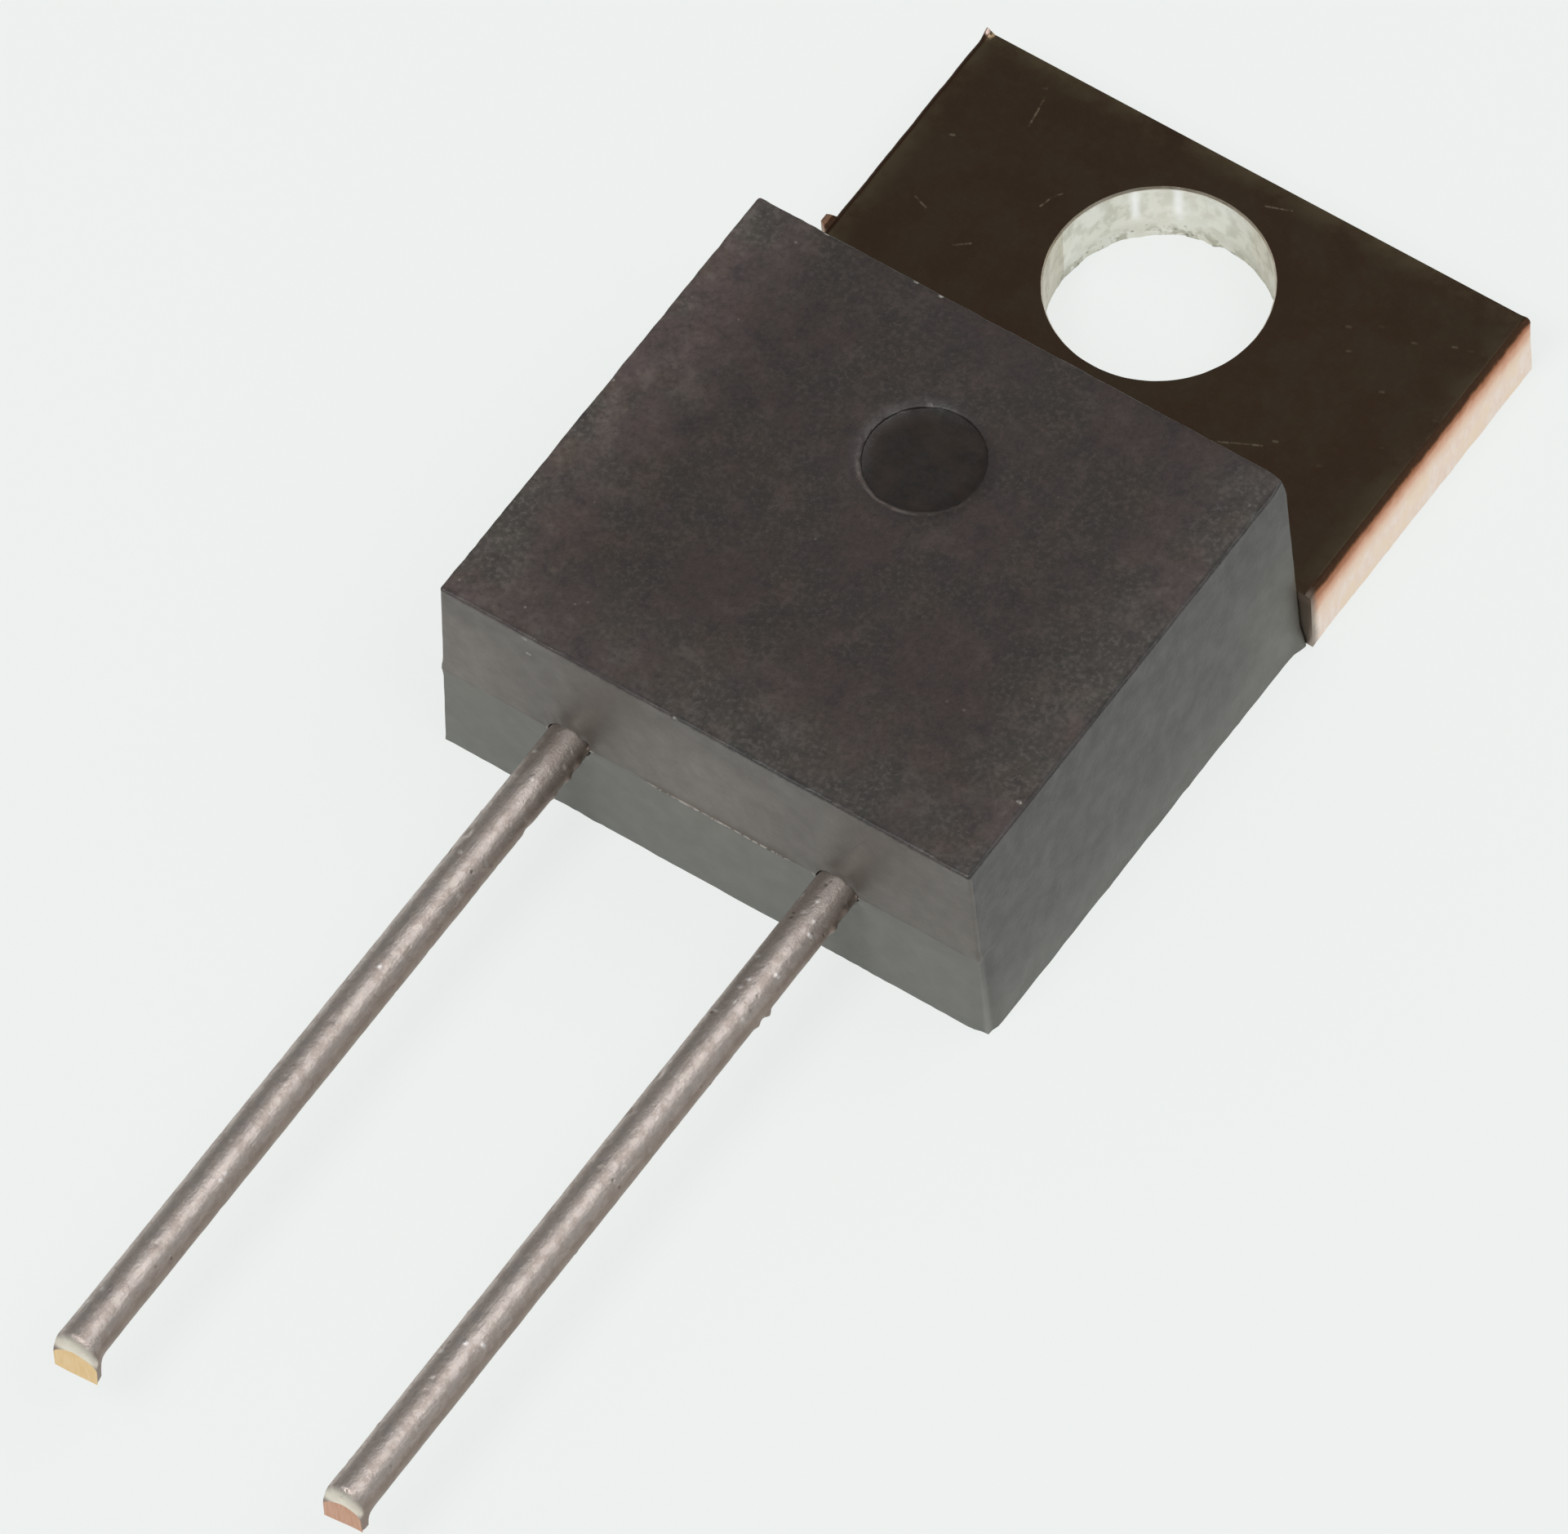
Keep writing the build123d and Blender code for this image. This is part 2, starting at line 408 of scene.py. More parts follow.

# Chips in the edges, each a stroke from one end to the other. The first, on the top's right edge,
# is a painted glint.
BODY_CHIPS_AND_GLINT = [((x, y, z), (x + 0.04, y, z)) for x, y, z in (
    (4.83, -10.95, 4.43), (-3.41, -12.54, 4.31), (-3.35, -12.54, 3.94), (-0.55, -12.54, 4.39),
    (-3.70, -3.72, 4.42), (-2.00, -3.72, 4.42), (-1.52, -3.74, 4.42),
)]
CHIP_REACH = 0.045


def epoxy_grain(mat, cloud, blot, stipple, warmth):
    """The compound all over: clouded, blotched and stippled, with scattered specks of filler."""
    base = mat.blend(mat.span(cloud, 0.36, 0.64), PINK_GREY, GREEN_GREY)
    base = mat.over(base, BROWN_GREY, mat.span(warmth, 0.46, 0.64), 0.5)
    base = mat.over(base, PALE_BLOT, mat.span(blot, 0.48, 0.72), 0.75)
    base = mat.over(base, DARK_BLOT, mat.span(blot, 0.50, 0.28), 0.75)
    base = mat.over(base, PORE, mat.span(stipple, 0.48, 0.32), 0.42)
    clouded = mat.span(cloud, 0.42, 0.62, 0.15, 0.55)
    base = mat.over(base, GRAIN, mat.span(stipple, 0.50, 0.64), clouded)
    patchy = mat.span(mat.noise(0.9, detail=1), 0.5, 0.62)
    return mat.over(base, FILLER, mat.dots(0.40, 0.036), patchy, 0.6)


def handled_top(mat, base, cloud):
    """The top is paler towards its edges. A dark line runs along its right edge, and a fainter
    one along its front edge."""
    from_side = mat.minus(BODY_HIGH.x, mat.maths("ABSOLUTE", mat.x))
    from_edge = mat.maths("MINIMUM", from_side, mat.plus(mat.y, -BODY_LOW.y))
    base = mat.blend(mat.span(from_edge, 0.2, 2.3), base, TOP_SHADE, "MULTIPLY")
    base = mat.relit(base, 1.42, mat.span(mat.x, BODY_LOW.x + 2.1, BODY_LOW.x + 0.3))
    base = mat.relit(base, 1.2, mat.span(mat.x, BODY_HIGH.x - 1.2, BODY_HIGH.x - 0.4))
    right_line = mat.near(mat.x, BODY_TOP_RIGHT - 0.035, 0.075)
    front_line = mat.near(mat.y, BODY_TOP_FRONT + 0.04, 0.07)
    line = mat.most(right_line, mat.times(front_line, 0.6))
    return mat.relit(base, 0.36, line, mat.span(cloud, 0.3, 0.5, 0.6, 1.0))


def moulded_sides(mat, base, front, blot, stipple):
    """The sides are paler and plainer below a ragged top edge, most at the front, and greener at
    the foot and towards the back. Painted light brightens the front between the leads and by its
    left corner."""
    z = mat.z
    height = mat.plus(z, mat.wander(0.14, 0.16, detail=2))
    side = mat.span(height, BODY_HIGH.z - 0.03, BODY_HIGH.z - 0.09)
    base = mat.over(base, SIDE_DARK, side, 0.85)
    base = mat.over(base, SIDE_LOWER, mat.span(z, BODY_HIGH.z - 0.05, 2.2), side, 0.5)
    base = mat.over(base, FRONT_GREY, side, front, 0.85)
    painted_light_between_leads = mat.near(mat.x, -0.1, 2.2)
    painted_light_by_left_corner = mat.near(mat.x, BODY_LOW.x + 0.5, 1.7)
    pale = mat.most(painted_light_between_leads, painted_light_by_left_corner)
    # Painted light on the front, between the leads and by its left corner
    base = mat.relit(base, 1.4, pale, mat.span(z, 4.15, 3.3), mat.span(z, 0.9, 2.0), front)
    mottle = mat.times(mat.plus(mat.plus(blot, mat.times(stipple, 0.5)), -0.75), side)
    base = mat.lighter(base, mat.plus(mat.times(mottle, 0.45), 1.0))
    base = mat.over(base, FOOT_GREY, mat.span(z, 1.6, 0.2), 0.55)
    back = mat.span(mat.y, BODY_HIGH.y - 2.4, BODY_HIGH.y)
    return mat.over(base, BACK_GREY, back, side, mat.span(z, 3.6, 1.6), 0.55)


def lower_mould_half(mat, base, lower):
    """Below the parting line the front is smoother and slightly greener, and its right corner is
    rubbed, with a painted highlight on it. A pale painted glint lies on the flash along the line,
    partly the flash's own scuffed colour."""
    base = mat.over(base, LOWER_HALF, lower, 0.7)
    corner = mat.times(
        mat.span(mat.x, BODY_HIGH.x - 0.16, BODY_HIGH.x - 0.06),
        mat.span(mat.y, BODY_LOW.y + 0.22, BODY_LOW.y + 0.10),
        mat.span(mat.z, PARTING_Z + 0.05, PARTING_Z - 0.15),
    )
    # The rubbed corner, with a painted highlight
    base = mat.over(base, RUBBED_CORNER_AND_HIGHLIGHT, corner, 0.55)
    # A painted glint on the flash, partly its scuffed colour
    flash = mat.times(
        mat.near(mat.z, PARTING_Z, 0.05),
        mat.span(mat.y, BODY_LOW.y - 0.010, BODY_LOW.y - 0.024),
        mat.span(mat.noise(0.10, detail=3), 0.40, 0.56),
    )
    return mat.over(base, FLASH_SCUFF_AND_GLINT, flash, 0.75)


def mark_rim(mat, base, along, across, reach):
    """The top round the ejector mark: on the front left, a painted highlight on the worn rim within
    a painted band of shade, and painted shade on the far side."""
    facing = mat.times(mat.span(along, -0.1, -0.8), mat.span(across, 0.8, 0.1, 0.2, 1.0))
    # A painted band of shade, and a painted highlight on the rim, on the front left
    base = mat.over(base, MARK_BAND_SHADE, mat.near(reach, MARK_RADIUS + 0.16, 0.10), facing, 0.6)
    broken = mat.span(mat.noise(0.2), 0.36, 0.56, 0.3, 1.0)
    rim = mat.times(mat.near(reach, MARK_RADIUS + 0.05, 0.06), broken)
    base = mat.over(base, MARK_RIM_HIGHLIGHT, rim, facing, 0.42)
    far = mat.span(along, -0.3, 0.4)
    return mat.over(base, MARK_SHADE, mat.near(reach, MARK_RADIUS + 0.04, 0.10), far, 0.55)


def mark_floor(mat, ragged, blot, stipple, warmth):
    """The ejector mark's floor: dark brown, with painted shade at the foot of the wall."""
    floor = mat.blend(mat.span(stipple, 0.35, 0.65), *MARK_FLOOR)
    floor = mat.over(floor, MARK_WARM, mat.span(warmth, 0.40, 0.58), 0.7)
    blotched = mat.span(blot, 0.36, 0.56, 0.45, 0.95)
    return mat.over(floor, MARK_WALL_SHADE, mat.near(ragged, MARK_RADIUS - 0.02, 0.09), blotched, 0.6)


def moulding_compound():
    """Dark filled epoxy, matt, with a browner floor in the ejector mark."""
    mat = Nodes("moulding_compound", IOR=1.55, Specular_IOR_Level=0.72)
    cloud = mat.noise(1.3, detail=2)
    blot = mat.noise(0.42, detail=4, rough=0.65)
    stipple = mat.noise(0.09, detail=3, rough=0.7)
    warmth = mat.noise(0.7, detail=3, place=mat.scaled(mat.place, (1, 1, -1)))
    front = mat.span(mat.y, BODY_LOW.y + 0.10, BODY_LOW.y + 0.07)
    lower = mat.times(front, mat.span(mat.z, PARTING_Z + 0.012, PARTING_Z - 0.012))
    across = mat.minus(mat.x, MARK_PLACE[0])
    along = mat.minus(mat.y, MARK_PLACE[1])
    reach = mat.length(across, along)
    ragged = mat.plus(reach, mat.wander(0.12, 0.10, detail=3))
    sunk = mat.span(mat.z, BODY_HIGH.z - MARK_DEPTH * 0.2, BODY_HIGH.z - MARK_DEPTH * 0.5)
    mark = mat.times(mat.span(ragged, MARK_RADIUS * 1.04, MARK_RADIUS * 0.96), sunk)

    base = epoxy_grain(mat, cloud, blot, stipple, warmth)
    base = handled_top(mat, base, cloud)
    base = moulded_sides(mat, base, front, blot, stipple)
    base = lower_mould_half(mat, base, lower)
    base = mark_rim(mat, base, along, across, reach)
    base = mat.over(base, mark_floor(mat, ragged, blot, stipple, warmth), mark)
    worn = mat.span(mat.noise(0.05), 0.35, 0.6, 0.2, 0.8)
    # Pale chips, and one painted glint
    base = mat.over(base, CHIP_AND_GLINT_PALE, mat.marks(BODY_CHIPS_AND_GLINT, CHIP_REACH), worn)

    rough = mat.minus(mat.span(blot, 0.3, 0.7, 0.50, 0.42), mat.times(mark, 0.08))
    calm = mat.minus(1.0, mat.times(mat.most(mark, lower), 0.6))
    fine, coarse = mat.times(stipple, calm), mat.times(blot, calm)
    return mat.finished(base, rough, (fine, 0.006), (coarse, 0.006))


# ---------------- tab's metals

# Handling marks on the plating, as strokes
TAB_SCRATCHES = [((x1, y1, TAB_HIGH.z), (x2, y2, TAB_HIGH.z)) for x1, y1, x2, y2 in (
    (-2.42, 0.22, -2.36, 0.46), (-2.36, 0.46, -2.26, 0.60), (-3.17, -1.15, -2.94, -0.97),
    (-3.53, 2.00, -3.44, 1.40), (-4.20, -0.70, -3.95, -0.78), (2.30, -2.10, 3.10, -1.70),
    (0.60, 2.15, 1.00, 2.30),
)]
SCRATCH_REACH = 0.03
TAB_SPECKS = [((x, y, TAB_HIGH.z), (x + 0.05, y + 0.02, TAB_HIGH.z)) for x, y in (
    (-3.66, 2.14), (3.41, 1.20), (2.97, 0.92), (3.23, 0.53), (4.10, 0.16), (4.02, 1.22),
    (4.60, 1.50), (4.86, 1.57), (5.11, 0.15), (4.68, -0.73), (4.06, -1.54), (3.21, -1.53),
    (-4.40, 0.60), (-3.90, -2.30),
)]
SPECK_REACH = 0.04

NICKEL = ((114, 90, 72), (118, 94, 77))
NICKEL_GREEN = (107, 97, 78)
NICKEL_PALE = (134, 110, 92)
NICKEL_SCRATCHED = (235, 215, 190)
NICKEL_RUBBED = (160, 142, 112)

COPPER_PALE = ((244, 222, 208), (251, 236, 226))
COPPER_CREAM = (248, 226, 200)
# Bands of colour under the plated top: the depths where each starts and is full, and its colour
COPPER_BANDS = (
    (0.80, 0.42, (240, 208, 184)),
    (0.54, 0.27, (220, 166, 134)),
    (0.31, 0.11, (186, 126, 90)),
)
COPPER_ROLLED = (82, 62, 48)
COPPER_DULL = (62, 48, 38)
COPPER_SHADED = (136, 123, 111)
COPPER_BURR = (226, 204, 194)

SILVER_WALL = ((208, 207, 192), (226, 225, 213))
SILVER_PALE = (236, 236, 230)
SILVER_SHADE = (226, 221, 210)  # multiplied in, on the wall's right side
SILVER_CREAM = (250, 246, 236)
SILVER_HIGHLIGHT = (255, 255, 252)
SILVER_TORN = (168, 165, 146)
SILVER_PIT = (128, 122, 106)
SILVER_LIP_AND_HIGHLIGHT = (218, 202, 192)
HIGHLIGHT_TURNS = (114.5, 136.0)  # where two painted highlights lie on the wall, in degrees from +X


def tab_plating():
    """Dark nickel over copper, drawn along X: very fine streaks, brown and green clouds, pale
    specks and short scratches, and a paler border where the sheared edges are rubbed."""
    mat = Nodes("tab_plating", Metallic=1.0)
    streak = mat.noise(0.03, detail=2, stretch=(50, 1, 1))
    cloud = mat.noise(0.8, detail=5, rough=0.62)
    mottle = mat.noise(0.14, detail=4, rough=0.7)
    base = mat.blend(streak, *NICKEL)
    base = mat.over(base, NICKEL_GREEN, mat.span(cloud, 0.40, 0.62), 0.6)
    base = mat.over(base, NICKEL_PALE, mat.span(mottle, 0.46, 0.66), 0.16)

    specks = mat.marks(TAB_SPECKS, SPECK_REACH)
    specks = mat.times(specks, mat.span(cloud, 0.40, 0.62, 0.1, 0.7))
    scratches = mat.marks(TAB_SCRATCHES, SCRATCH_REACH)
    scratches = mat.times(scratches, mat.span(mottle, 0.40, 0.60, 0.1, 0.8))
    worn = mat.most(specks, scratches)
    base = mat.over(base, NICKEL_SCRATCHED, worn, 0.34)
    rubbed = mat.most(
        mat.span(mat.x, TAB_LEFT + 0.55, TAB_LEFT),
        mat.span(mat.y, TAB_HIGH.y - 0.45, TAB_HIGH.y),
        mat.span(mat.x, TAB_HIGH.x - 0.55, TAB_HIGH.x - 0.12, 0.0, 0.5),
    )
    base = mat.over(base, NICKEL_RUBBED, rubbed, mat.span(cloud, 0.3, 0.6), 0.5)

    rough = mat.plus(mat.span(cloud, 0.3, 0.7, 0.25, 0.31), mat.times(worn, 0.15))
    return mat.finished(base, rough, (streak, 0.0004), (mottle, 0.0004), (worn, 0.003))


def cut_copper():
    """Sheared copper: a pale burnished face with fine upright shear marks, going through orange
    to dark red-brown where the copper rolled over under the plated top."""
    mat = Nodes("cut_copper", Metallic=1.0)
    marks = mat.noise(0.12, detail=5, rough=0.6, stretch=(1, 1, 3))
    cloud = mat.noise(0.55, detail=4, rough=0.6)
    base = mat.blend(mat.span(marks, 0.35, 0.65), *COPPER_PALE)
    base = mat.over(base, COPPER_CREAM, mat.span(cloud, 0.42, 0.62), 0.7)

    # The bands wander with depth, reach lower near the body, and spare the stub and the burrs
    wander = mat.wander(0.34, 0.28, detail=5, rough=0.7)
    stub = mat.span(mat.x, TAB_LEFT - 0.01, TAB_LEFT - 0.05)
    risen = mat.span(mat.z, TAB_HIGH.z + 0.02, TAB_HIGH.z + 0.06)
    depth = mat.plus(mat.minus(TAB_HIGH.z, mat.z), wander)
    depth = mat.plus(depth, mat.times(mat.most(stub, risen), 0.30))
    torn = mat.times(mat.span(mat.y, SHOULDER_Y + 1.6, SHOULDER_Y + 0.4), 0.09)
    band_depth = mat.minus(depth, torn)
    for start, full, tint in COPPER_BANDS:
        base = mat.over(base, tint, mat.span(band_depth, start, full), 0.9)
    rolled = mat.plus(depth, mat.times(wander, -0.55))
    base = mat.over(base, COPPER_ROLLED, mat.span(rolled, 0.10, 0.03), 0.9)

    # Duller where the plating ends above the right side, with painted shade on the sides next to
    # the body
    dull = mat.span(mat.x, TAB_HIGH.x - 0.035, TAB_HIGH.x - 0.075)
    base = mat.over(base, COPPER_DULL, dull, 0.6)
    by_body = mat.plus(mat.y, mat.times(wander, 0.6))
    shaded = mat.span(by_body, SHOULDER_Y + 0.24, SHOULDER_Y + 0.02)
    base = mat.over(base, COPPER_SHADED, shaded, 0.88)
    base = mat.over(base, COPPER_BURR, risen, 0.8)

    rough = mat.plus(mat.span(marks, 0.3, 0.7, 0.38, 0.48), mat.span(depth, 0.3, 0.1, 0.0, 0.2))
    return mat.finished(base, rough, (marks, 0.005), (cloud, 0.010))


def hole_silver():
    """The punched hole's wall: pale plating, blotched and pitted where the punch tore it, with
    two upright painted highlights, and a pinkish lip at the top, partly the copper's tint and
    partly a painted highlight."""
    mat = Nodes("hole_silver", Metallic=1.0)
    blotch = mat.noise(0.26, detail=4, rough=0.6, stretch=(1, 1, 1.3))
    marks = mat.noise(0.05, detail=2, stretch=(1, 1, 12))
    cloud = mat.noise(0.8, detail=2)
    base = mat.blend(mat.span(blotch, 0.42, 0.56), *SILVER_WALL)
    base = mat.over(base, SILVER_PALE, mat.span(cloud, 0.42, 0.6), 0.5)

    turn = mat.times(mat.maths("ARCTAN2", mat.y, mat.x), math.degrees(1))
    base = mat.blend(mat.span(turn, 92.0, 60.0), base, SILVER_SHADE, "MULTIPLY")
    base = mat.over(base, SILVER_CREAM, mat.near(turn, 118.0, 40.0), 0.4)
    # Two upright painted highlights
    highlight_strips = mat.most(*(mat.near(turn, at, 4.0) for at in HIGHLIGHT_TURNS))
    base = mat.over(base, SILVER_HIGHLIGHT, highlight_strips, mat.span(mat.z, 0.4, 0.8))

    torn = mat.times(mat.span(mat.z, 0.55, 0.10), mat.span(blotch, 0.46, 0.58))
    base = mat.over(base, SILVER_TORN, torn, 0.8)
    pits = mat.times(mat.dots(0.16, 0.045), mat.span(mat.z, 0.5, 0.2))
    base = mat.over(base, SILVER_PIT, pits, 0.8)
    # The lip: the copper's pinkish tint with a painted highlight
    lip = mat.span(mat.z, TAB_HIGH.z - 0.10, TAB_HIGH.z - 0.03)
    base = mat.over(base, SILVER_LIP_AND_HIGHLIGHT, lip, 0.6)

    rough = mat.span(blotch, 0.35, 0.65, 0.42, 0.30)
    return mat.finished(base, rough, (marks, 0.002), (blotch, 0.005), (pits, -0.01))


# ---------------- leads' metals

TIN_DRAWN = ((206, 193, 186), (222, 211, 205))
TIN_ROUGH = (168, 150, 140)
TIN_GRAIN = (236, 226, 222)
TIN_GLINT = (255, 250, 248)
TIN_PIT = (104, 90, 80)
TIN_FLANK_SHADE = (146, 131, 122)
TIN_CLEAN = (250, 243, 230)


def tinned_wire():
    """Tin plating on copper wire: satin and a little pink, with ragged lengthwise patches where the
    tin lies rougher, painted glints, dark pits, painted shade on the lower flanks, and a clean
    cream roll of tin at the sheared tip."""
    mat = Nodes("tinned_wire", Metallic=1.0)
    drawn = mat.noise(0.05, detail=3, stretch=(1, 10, 1))
    patch = mat.noise(0.24, detail=6, rough=0.7, stretch=(1, 1.3, 1))
    grain = mat.noise(0.045, detail=2)
    base = mat.blend(drawn, *TIN_DRAWN)
    base = mat.over(base, TIN_ROUGH, mat.span(patch, 0.51, 0.56), 0.32)
    base = mat.over(base, TIN_GRAIN, mat.span(grain, 0.56, 0.70), 0.35)
    # Painted glints, scattered where the tin sparkles
    sparkling = mat.span(mat.noise(0.8, detail=1), 0.46, 0.56)
    sparkle = mat.times(mat.dots(0.30, 0.075), sparkling)
    base = mat.over(base, TIN_GLINT, sparkle)
    pits = mat.times(mat.dots(0.26, 0.05), mat.span(mat.noise(0.7, detail=1), 0.5, 0.6))
    base = mat.over(base, TIN_PIT, pits, 0.7)

    height = mat.plus(mat.z, -LEAD_Z)
    # Painted shade on the lower flanks
    base = mat.over(base, TIN_FLANK_SHADE, mat.span(height, 0.28, 0.10), 0.95)
    tip = mat.span(mat.y, TIP_Y + 0.12, TIP_Y + 0.03)
    clean = mat.times(tip, mat.span(height, -0.12, 0.05))
    base = mat.over(base, TIN_CLEAN, clean)

    rough = mat.plus(mat.span(patch, 0.40, 0.60, 0.44, 0.54), mat.times(clean, 0.08))
    relief = (drawn, 0.004), (grain, 0.005), (patch, 0.015), (pits, -0.010), (sparkle, 0.010)
    return mat.finished(base, rough, *relief)


def sheared_end(name, pale, deep):
    """The copper laid bare where a lead was sheared off."""
    mat = Nodes(name, Metallic=1.0)
    marks = mat.noise(0.05, detail=3, stretch=(1, 1, 8))
    rough = mat.span(marks, 0.3, 0.7, 0.34, 0.46)
    return mat.finished(mat.blend(marks, pale, deep), rough, (marks, 0.004))


COMPOUND = moulding_compound()
PLATING = tab_plating()
COPPER = cut_copper()
HOLE = hole_silver()
TIN = tinned_wire()
END_YELLOW = sheared_end("sheared_end_yellow", (249, 219, 170), (236, 200, 143))
END_SALMON = sheared_end("sheared_end_salmon", (222, 178, 152), (204, 152, 126))


# ---------------- meshes

TOUCH = 1e-4  # points closer than this are one point
SLACK = 1e-3  # a point this near to a face lies on it
TINY = 1e-6  # keeps a division off zero


def cut(polygon, axis, place):
    """The two parts of a convex polygon, below and above a place on an axis."""
    below, above = [], []
    for a, b in zip(polygon, polygon[1:] + polygon[:1]):
        if a[axis] < place + TOUCH:
            below.append(a)
        if a[axis] > place - TOUCH:
            above.append(a)
        off_plane = abs(a[axis] - place) >= TOUCH and abs(b[axis] - place) >= TOUCH
        if off_plane and (a[axis] < place) != (b[axis] < place):
            start, end = sorted((a, b))
            share = (place - start[axis]) / (end[axis] - start[axis])
            point = tuple(s + (e - s) * share for s, e in zip(start, end))
            below.append(point)
            above.append(point)
    return below, above


def joined(polygons):
    """A bmesh of polygons, each a list of points, with points that touch made one."""
    index = {}
    faces = []
    for polygon in polygons:
        keys = [tuple(round(c / TOUCH) for c in point) for point in polygon]
        pairs = zip(keys, polygon)
        faces.append([index.setdefault(key, (len(index), point))[0] for key, point in pairs])
    mesh = bpy.data.meshes.new("joined")
    mesh.from_pydata([point for _, point in index.values()], [], faces)
    bm = bmesh.new()
    bm.from_mesh(mesh)
    bpy.data.meshes.remove(mesh)
    bmesh.ops.remove_doubles(bm, verts=bm.verts, dist=TOUCH * 3)
    return bm


def finer(node, cuts):
    """A bmesh of a CAD node in mm, cut along the planes at these places on X, Y and Z."""
    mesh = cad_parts[node].data
    mesh.calc_loop_triangles()
    corners = [tuple(vert.co / MM) for vert in mesh.vertices]
    polygons = [[corners[i] for i in triangle.vertices] for triangle in mesh.loop_triangles]
    for axis, places in enumerate(cuts):
        places = sorted(set(places))
        made = []
        for polygon in polygons:
            low, high = min(p[axis] for p in polygon), max(p[axis] for p in polygon)
            first = bisect_right(places, low + TOUCH)
            last = bisect_left(places, high - TOUCH)
            for place in places[first:last]:
                below, polygon = cut(polygon, axis, place)
                made.append(below)
            made.append(polygon)
        polygons = made
    bm = joined(polygons)
    bm.normal_update()
    return bm


def steps(low, high, step):
    """Even places from low to high, about a step apart, without the ends."""
    count = max(1, round((high - low) / step))
    return [low + (high - low) * i / count for i in range(1, count)]


def dress(name, bm, node, materials):
    """Makes the piece of a mesh in mm that stands for a CAD node."""
    bmesh.ops.scale(bm, vec=(MM,) * 3, verts=bm.verts)
    mesh = bpy.data.meshes.new(name)
    bm.to_mesh(mesh)
    bm.free()
    for material in materials:
        mesh.materials.append(material)
    for polygon in mesh.polygons:
        polygon.use_smooth = True
    mesh.set_sharp_from_angle(angle=math.radians(35.0))
    piece = bpy.data.objects.new(name, mesh)
    bpy.context.scene.collection.objects.link(piece)
    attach(piece, "root")
    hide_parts(node)


def ripple(place, size):
    """Smooth noise from about -1 to 1 with features of this size."""
    return noise.noise(place / size)


def smooth(value, low, high):
    """Smooth step of a value, from 0 at low to 1 at high."""
    t = min(1.0, max(0.0, (value - low) / (high - low)))
    return t * t * (3 - 2 * t)


# ---------------- moulded body

SKIN_STEP = 0.14  # size of the body's faces
LEAD_STEP = 0.06  # and round the leads
LEAD_SURROUND = 0.6
EDGE_CUTS = (0.02, 0.045, 0.07)  # below the top
PARTING_CUTS = (-0.10, -0.06, -0.03, 0.03, 0.06, 0.10)
WORN_MARK_Z = BODY_HIGH.z - 0.055  # the height that the mark's rim and foot wear to
FLASH_BASE = 0.010  # how far flash stands out along the whole parting line
FLASH_REACH = 0.04  # and how much further in the middle stretch of it
FLASH_SPAN = (-1.25, 1.65)  # that stretch's ends
FLASH_KNOBS = ((-1, 0.05), (1, 0.06))  # side and size
# Worn corners: place in plan, way in, and the heights where the wear starts and is full. They
# are the top's right corner at the back, and the front's right one below the parting line.
WORN_CORNERS = (
    ((BODY_HIGH.x - 0.18, BODY_HIGH.y), (-0.04, -0.04, 0), BODY_HIGH.z - 0.35, BODY_HIGH.z),
    ((BODY_HIGH.x - 0.05, BODY_LOW.y + 0.05), (-0.05, 0.05, 0), PARTING_Z + 0.02, PARTING_Z - 0.04),
)


def worn_mark(place):
    """The ejector mark's rim and foot, both worn round."""
    rim = math.hypot(place.x - MARK_PLACE[0], place.y - MARK_PLACE[1]) - MARK_RADIUS
    if abs(rim) >= 0.14 or place.z <= BODY_HIGH.z - MARK_DEPTH - 0.01:
        return Vector()
    worn = 0.7 * smooth(abs(rim), 0.13, 0.0) * (1 + 0.3 * ripple(place, 0.2))
    return Vector((0, 0, WORN_MARK_Z - place.z)) * worn


def ragged_top_edges(place, normal):
    if abs(normal.z) >= 0.97:
        return Vector()
    edge = smooth(place.z, BODY_HIGH.z - 0.09, BODY_HIGH.z - 0.02)
    return normal * edge * (0.010 * ripple(place, 0.13) + 0.008 * ripple(place, 0.4))


def uneven_foot(place, normal):
    waves = 0.016 * ripple(place, 0.45) + 0.012 * ripple(place, 0.13)
    return Vector((normal.x, normal.y, 0)) * smooth(place.z, 0.22, 0.0) * waves


def resin_on_shoulder(place):
    """Resin drawn out at the foot, over the tab's right shoulder."""
    if place.x <= 4.9:
        return Vector()
    near = smooth(place.y, BODY_HIGH.y - 0.36, BODY_HIGH.y - 0.02) * smooth(place.z, 0.50, 0.0)
    return Vector((0.09, 0, 0)) * near * (1 + 0.3 * ripple(place, 0.15))


def parting_flash(place, front):
    """Flash squeezed out along the parting line."""
    line = max(0.0, 1 - abs(place.z - PARTING_Z) / 0.035) * front
    if not line:
        return Vector()
    ragged = 0.5 + 0.4 * ripple(place + Vector((7, 0, 0)), 0.22) + 0.4 * ripple(place, 0.09)
    start, end = FLASH_SPAN
    middle = smooth(place.x, start, start + 0.2) * smooth(place.x, end, end - 0.2)
    reach = FLASH_BASE * ragged + FLASH_REACH * middle * (0.4 + 0.6 * ragged)
    return Vector((0, -1, 0)) * line * reach


def corner_knobs(place):
    """Knobs of flash at the front corners."""
    shift = Vector()
    for side, size in FLASH_KNOBS:
        corner = Vector((side * BODY_HIGH.x, BODY_LOW.y, PARTING_Z + 0.03))
        near = max(0.0, 1 - (place - corner).length / 0.32)
        shift += Vector((side * 0.8, -0.6, 0)) * size * near * near * (1 + 0.5 * ripple(place, 0.1))
    return shift


def worn_corners(place):
    shift = Vector()
    for corner, inward, start, full in WORN_CORNERS:
        near = smooth((place.xy - Vector(corner)).length, 0.34, 0.0)
        shift += Vector(inward) * near * smooth(place.z, start, full)
    return shift


